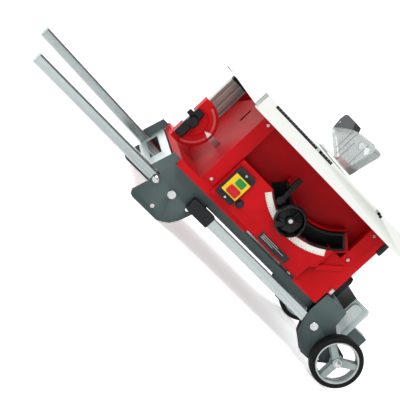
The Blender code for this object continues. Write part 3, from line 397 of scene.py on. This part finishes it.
def solid(name, shapes, material, body, bevel=0.0):
    """One piece of (corner, corner) boxes and (outline, axis, low, high) prisms, on a body."""
    made = bmesh.new()
    for shape in shapes:
        if len(shape) == 2:
            (x0, y0, z0), (x1, y1, z1) = shape
            shape = ([(x0, z0), (x1, z0), (x1, z1), (x0, z1)], "y", y0, y1)
        outline, axis, low, high = shape
        ends = []
        for w in (low, high):
            ring = []
            for u, v in outline:
                point = {"x": (w, u, v), "y": (u, w, v), "z": (u, v, w)}[axis]
                ring.append(made.verts.new(point))
            ends.append(ring)
        made.faces.new(ends[0])
        made.faces.new(ends[1])
        for i in range(len(outline)):
            j = (i + 1) % len(outline)
            made.faces.new((ends[0][i], ends[0][j], ends[1][j], ends[1][i]))
    bmesh.ops.recalc_face_normals(made, faces=made.faces)
    mesh = bpy.data.meshes.new(name)
    made.to_mesh(mesh)
    made.free()
    obj = bpy.data.objects.new(name, mesh)
    bpy.context.scene.collection.objects.link(obj)
    obj.data.materials.append(material)
    if bevel:
        edge = obj.modifiers.new("Edge", "BEVEL")
        edge.width = bevel
        edge.segments = 2
    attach(obj, body)
    return obj


def disc(u, v, radius, count=20):
    """Outline of a circle."""
    turns = [2 * math.pi * i / count for i in range(count)]
    return [(u + radius * math.cos(t), v + radius * math.sin(t)) for t in turns]


def band(u, v, inner, outer, start, end, steps=20):
    """Outline of an arc, angles in degrees from straight down."""
    turns = [math.radians(start + (end - start) * i / steps) for i in range(steps + 1)]
    far = [(u + outer * math.sin(t), v - outer * math.cos(t)) for t in turns]
    near = [(u + inner * math.sin(t), v - inner * math.cos(t)) for t in turns]
    return far + near[::-1]


SHIFT = AXLE_X  # the stand's sizes are measured from the wheel axle
FACE = house_low.y  # forward face of the lower panel
SKIRT = FACE + 0.010
PANEL = FACE + 0.040
TILT = (SHIFT - 0.376, 0.440)  # x and z of the bevel axis, which the slot and scale go round
SLOT_NEAR = 0.1538
SLOT_FAR = 0.1912
SCALE_FAR = 0.2155
BUTTON_MARGIN = 0.004


def screws(name, places, face, radius, body, material, out=-1):
    """Pan-head screws with a slot, on a face that looks along Y."""
    shapes = []
    for x, z in places:
        shapes.append((disc(x, z, radius, 16), "y", face, face + out * 0.0018))
        slot = 0.0009
        shapes.append(
            (
                (x - radius * 0.7, face + out * 0.0017, z - slot),
                (x + radius * 0.7, face + out * 0.0021, z + slot),
            )
        )
    return solid(name, shapes, material, body)


def switch_trim():
    """Yellow moulded surround of the buttons, with its two screws."""
    low, high = corners("switch_block")
    start_high = corners("start_button")[1]
    stop_low = corners("stop_button")[0]
    x0, x1 = low.x + 0.0045, high.x - 0.0012
    z0, z1 = stop_low.z - BUTTON_MARGIN, start_high.z + BUTTON_MARGIN
    y0, y1 = low.y - 0.0008, low.y - 0.0001
    solid("switch_surround", [((x0, y0, z0), (x1, y1, z1))], yellow_abs, "stand")
    x = (low.x + high.x) / 2
    screws(
        "switch_screws",
        [(x, low.z + 0.008), (x, high.z - 0.009)],
        low.y,
        0.0035,
        "stand",
        bright_steel,
    )


def front_panel():
    """Scale ticks, slot liner, blank rating plate, panel ribs and screws."""
    ticks = []
    for degrees in range(-35, 35, 2):
        deep = 0.0075 if degrees % 5 == 0 else 0.0045
        half = 0.12
        ticks.append(
            (
                band(*TILT, 0.2163 - deep, SCALE_FAR, degrees - half, degrees + half, 1),
                "y",
                FACE - 0.0021,
                FACE - 0.0017,
            )
        )
    solid("bevel_scale_ticks", ticks, print_and_shade_black, "stand")
    liner = [(band(*TILT, 0.1505, 0.1540, -40, 10, 24), "y", FACE - 0.0006, FACE + 0.001)]
    liner.append((band(*TILT, 0.1910, 0.1945, -38, 30, 24), "y", FACE - 0.0006, FACE + 0.001))
    solid("tilt_slot_liner", liner, black_nylon, "stand")
    frame_y = (FACE - 0.0012, PANEL + 0.001)
    edge = [
        (band(*TILT, 0.1478, SLOT_NEAR, -43, 50, 30), "y", *frame_y),
        (band(*TILT, SLOT_FAR, 0.1972, 17, 50, 16), "y", *frame_y),
        (band(*TILT, SLOT_NEAR, SLOT_FAR, 48.1, 50, 2), "y", *frame_y),
    ]
    solid("tilt_slot_frame", edge, black_nylon, "stand", 0.0008)
    arch = [(band(*TILT, 0.1972, 0.2060, 17, 53, 18), "y", FACE + 0.004, PANEL + 0.001)]
    arch.append((band(*TILT, 0.1400, 0.1478, -47, 53, 24), "y", FACE + 0.012, PANEL + 0.001))
    arch.append((band(*TILT, 0.1478, 0.1972, 50, 53, 3), "y", FACE + 0.004, PANEL + 0.001))
    solid("tilt_slot_arch", arch, red_abs, "stand", 0.003)
    # painted shade: a near-black sheet behind the tilt slot stands in for the shadow inside the
    # housing
    solid(
        "tilt_slot_painted_shade",
        [(band(*TILT, 0.150, 0.196, -42, 49, 24), "y", PANEL + 0.0032, PANEL + 0.0036)],
        print_and_shade_black,
        "stand",
    )
    plate = ((SHIFT - 0.428, FACE - 0.0008, 0.1667), (SHIFT - 0.317, FACE + 0.0002, 0.189))
    solid("rating_plate", [plate], black_nylon, "stand")
    bars = []
    for z, length in ((0.1845, 0.060), (0.1795, 0.085), (0.1745, 0.048)):
        x = SHIFT - 0.422
        bars.append(((x, FACE - 0.0010, z), (x + length, FACE - 0.0008, z + 0.0012)))
    solid("rating_plate_bars", bars, white_print, "stand")
    chamfer = [
        (SHIFT - 0.244, 0.212),
        (SHIFT - 0.180, 0.268),
        (SHIFT - 0.190, 0.280),
        (SHIFT - 0.246, 0.232),
    ]
    solid(
        "housing_diagonal_rib",
        [(chamfer, "y", SKIRT - 0.004, SKIRT + 0.001)],
        red_abs,
        "stand",
        0.0015,
    )
    ribs = [
        ((SHIFT - 0.214, SKIRT - 0.0035, 0.290), (SHIFT - 0.177, SKIRT + 0.001, 0.408)),
        ((SHIFT - 0.6545, SKIRT - 0.0035, 0.180), (SHIFT - 0.6135, SKIRT + 0.001, 0.408)),
    ]
    solid("housing_column_faces", ribs, red_abs, "stand", 0.002)
    screws(
        "housing_screws",
        [
            (SHIFT - 0.634, 0.190),
            (SHIFT - 0.634, 0.398),
            (SHIFT - 0.196, 0.398),
            (SHIFT - 0.196, 0.300),
        ],
        SKIRT - 0.0035,
        0.0045,
        "stand",
        bright_steel,
    )
    collar = band(SHIFT - 0.5306, 0.1964, 0.0095, 0.0125, 0, 359.9, 24)
    solid("reset_collar", [(collar, "y", FACE - 0.001, FACE + 0.001)], black_nylon, "stand")
    hook_x = house_high.x - 0.012
    solid(
        "corner_clip",
        [((hook_x, SKIRT - 0.006, 0.198), (hook_x + 0.010, SKIRT + 0.002, 0.214))],
        zinc_sheet,
        "stand",
        0.001,
    )


def wheel_details(end, side):
    """A ring moulded in the tyre's wall, and the screws of the leg's foot."""
    face = abs(tyre_low.y)
    out = sorted((side * (face - 0.0002), side * (face + 0.0010)))
    body = f"wheel_{end}"
    wall = [(band(AXLE_X, AXLE_Z, 0.0675, 0.0690, 0, 359.9, 48), "y", *out)]
    solid(f"tyre_wall_ring_{end}", wall, tyre_rubber, body)
    low, high = corners(f"leg_foot_{end}")
    y = low.y if side < 0 else high.y
    z = (low.z + high.z) / 2
    screws(
        f"foot_screws_{end}",
        [(low.x + 0.020, z), (high.x - 0.018, z)],
        y,
        0.0042,
        f"leg_{end}",
        black_nylon,
        side,
    )


def mitre_details():
    """Rim moulding, pointer and graduation on the gauge head, and the body of its clamp."""
    low, high = corners("mitre_head")
    knob_low, knob_high = corners("mitre_knob")
    cx = (knob_low.x + knob_high.x) / 2
    cz = (knob_low.z + knob_high.z) / 2
    radius = high.x - cx
    face = low.y
    outer = band(cx, cz, radius - 0.006, radius - 0.0003, 5, 175, 28)
    inner = band(cx, cz, radius - 0.030, radius - 0.027, 8, 172, 24)
    rim = [
        (outer, "y", face - 0.0025, face + 0.0005),
        (inner, "y", face - 0.0015, face + 0.0005),
    ]
    solid("mitre_head_rim", rim, red_abs, "mitre_turn", 0.0006)
    tip, wide = cx + 0.62 * radius, cx + 0.90 * radius
    pointer = [(tip, cz + 0.003), (wide, cz + 0.011), (wide, cz - 0.005)]
    solid("mitre_pointer", [(pointer, "y", face - 0.0032, face - 0.0026)], white_print, "mitre")
    clamp = [
        ((low.x - 0.001, face - 0.010, cz - 0.056), (cx + 0.012, face - 0.0003, cz + 0.036)),
        ((low.x - 0.014, face - 0.008, cz + 0.004), (low.x + 0.002, face - 0.001, cz + 0.020)),
    ]
    solid("mitre_clamp_body", clamp, gloss_nylon, "mitre_turn", 0.003)
    marks = []
    for degrees in range(15, 170, 5):
        marks.append(
            (
                band(cx, cz, radius - 0.014, radius - 0.008, degrees - 0.4, degrees + 0.4, 1),
                "y",
                face - 0.0006,
                face + 0.0002,
            )
        )
    solid("mitre_head_marks", marks, white_print, "mitre_turn")


def guard_details():
    """Stiffening ribs on the clear guard, and the red tint along its lower edge."""
    low, high = corners("guard_shell")
    ribs = []
    for x, out in ((low.x, -1), (high.x, 1)):
        for y, z0, z1 in (
            (-0.060, 0.484, 0.552),
            (-0.100, 0.473, 0.556),
            (-0.140, 0.468, 0.532),
            (-0.235, 0.470, 0.555),
        ):
            ribs.append(
                (
                    (min(x, x + out * 0.0012), y - 0.0012, z0),
                    (max(x, x + out * 0.0012), y + 0.0012, z1),
                )
            )
    solid("guard_ribs", ribs, clear_pc, "guard")
    tint = [(-0.246, 0.4665), (-0.256, 0.486), (-0.150, 0.480), (-0.112, 0.4665)]
    red_lens = surface(
        "red_tinted_polycarbonate",
        "#b81522",
        "#9c0f1a",
        0.2,
        grain_mm=3.0,
        depth_mm=0.01,
        Transmission_Weight=0.6,
        Alpha=0.6,
    )
    solid(
        "guard_nose_tint",
        [
            (tint, "x", low.x - 0.0006, low.x - 0.0001),
            (tint, "x", high.x + 0.0001, high.x + 0.0006),
        ],
        red_lens,
        "guard",
    )


def handwheel_details():
    """Raised ribs across the handwheel's dish, and a metal cap at its centre."""
    low, high = corners("handwheel")
    cx, cz = (low.x + high.x) / 2, (low.z + high.z) / 2
    dish = low.y + 0.0133
    ribs = []
    for i in range(6):
        turn = math.radians(30 + 60 * i)
        along = Vector((math.cos(turn), math.sin(turn)))
        across = Vector((-along.y, along.x)) * 0.0016
        near, far = along * 0.013, along * 0.036
        outline = [near - across, far - across, far + across, near + across]
        ribs.append(([(cx + p.x, cz + p.y) for p in outline], "y", dish - 0.004, dish + 0.001))
    solid("handwheel_ribs", ribs, gloss_nylon, "handwheel", 0.0005)
    solid(
        "handwheel_cap",
        [(disc(cx, cz, 0.0065), "y", low.y + 0.0030, low.y + 0.0052)],
        bright_steel,
        "handwheel",
        0.0008,
    )


def cover_details():
    """Ribs on the black side cover."""
    low, high = corners("side_cover")
    shapes = []
    for i in range(5):
        y = low.y + 0.035 + 0.045 * i
        shapes.append(
            ((high.x - 0.0005, y, low.z + 0.012), (high.x + 0.0015, y + 0.006, high.z - 0.014))
        )
    solid("side_cover_ribs", shapes, black_nylon, "stand", 0.0006)


switch_trim()
front_panel()
mitre_details()
guard_details()
handwheel_details()
for end, side in (("front", -1), ("rear", 1)):
    wheel_details(end, side)
cover_details()


def studio():
    """Pale floor, lit backdrop, three soft lights and the camera."""
    bpy.ops.mesh.primitive_plane_add(size=60)
    floor = bpy.context.object
    floor.name = "floor"
    paper = surface(
        "pale_matt_paper",
        "#f4f4f4",
        "#efefef",
        0.9,
        grain_mm=4,
        depth_mm=0.01,
        Emission_Color=linear("#ffffff"),
        Emission_Strength=0.42,
    )
    coat(floor, paper)
    bpy.ops.mesh.primitive_plane_add(size=60, location=(0, 14, 0), rotation=(math.pi / 2, 0, 0))
    backdrop = bpy.context.object
    backdrop.name = "backdrop"
    coat(
        backdrop,
        surface(
            "lit_paper_backdrop",
            "#f4f4f4",
            "#efefef",
            0.9,
            grain_mm=4,
            depth_mm=0.01,
            Emission_Color=linear("#ffffff"),
            Emission_Strength=0.9,
        ),
    )
    world = bpy.data.worlds.new("studio")
    bpy.context.scene.world = world
    world.use_nodes = True
    back = world.node_tree.nodes["Background"]
    back.inputs["Color"].default_value = linear("#f2f5f6")
    back.inputs["Strength"].default_value = 0.30
    bpy.context.scene.view_settings.view_transform = "Standard"
    bpy.context.scene.view_settings.look = "Medium High Contrast"
    for name, place, size, power in (
        ("key_light", (-2.0, -2.4, 3.2), 1.6, 85),
        ("fill_light", (2.8, -2.6, 1.4), 1.6, 14),
        ("back_light", (0.5, 3.0, 2.6), 2.0, 30),
    ):
        light = bpy.data.lights.new(name, "AREA")
        light.size = size
        light.energy = power
        lamp = bpy.data.objects.new(name, light)
        bpy.context.scene.collection.objects.link(lamp)
        lamp.location = place
        aim = Vector((-0.1, 0, 0.25)) - Vector(place)
        lamp.rotation_euler = aim.to_track_quat("-Z", "Y").to_euler()
    camera = bpy.data.objects.new("camera", bpy.data.cameras.new("camera"))
    bpy.context.scene.collection.objects.link(camera)
    camera.data.lens = 108.0
    camera.data.sensor_width = 36.0
    right = Vector((0.6819, -0.1011, 0.7244)).normalized()
    ahead = Vector((0.271, 0.9548, -0.1219)).normalized()
    up = right.cross(ahead)
    right = ahead.cross(up)
    turned = Matrix((right, up, -ahead)).transposed().to_4x4()
    camera.matrix_world = Matrix.Translation((-0.9312, -3.3203, 0.5209)) @ turned
    bpy.context.scene.camera = camera


studio()
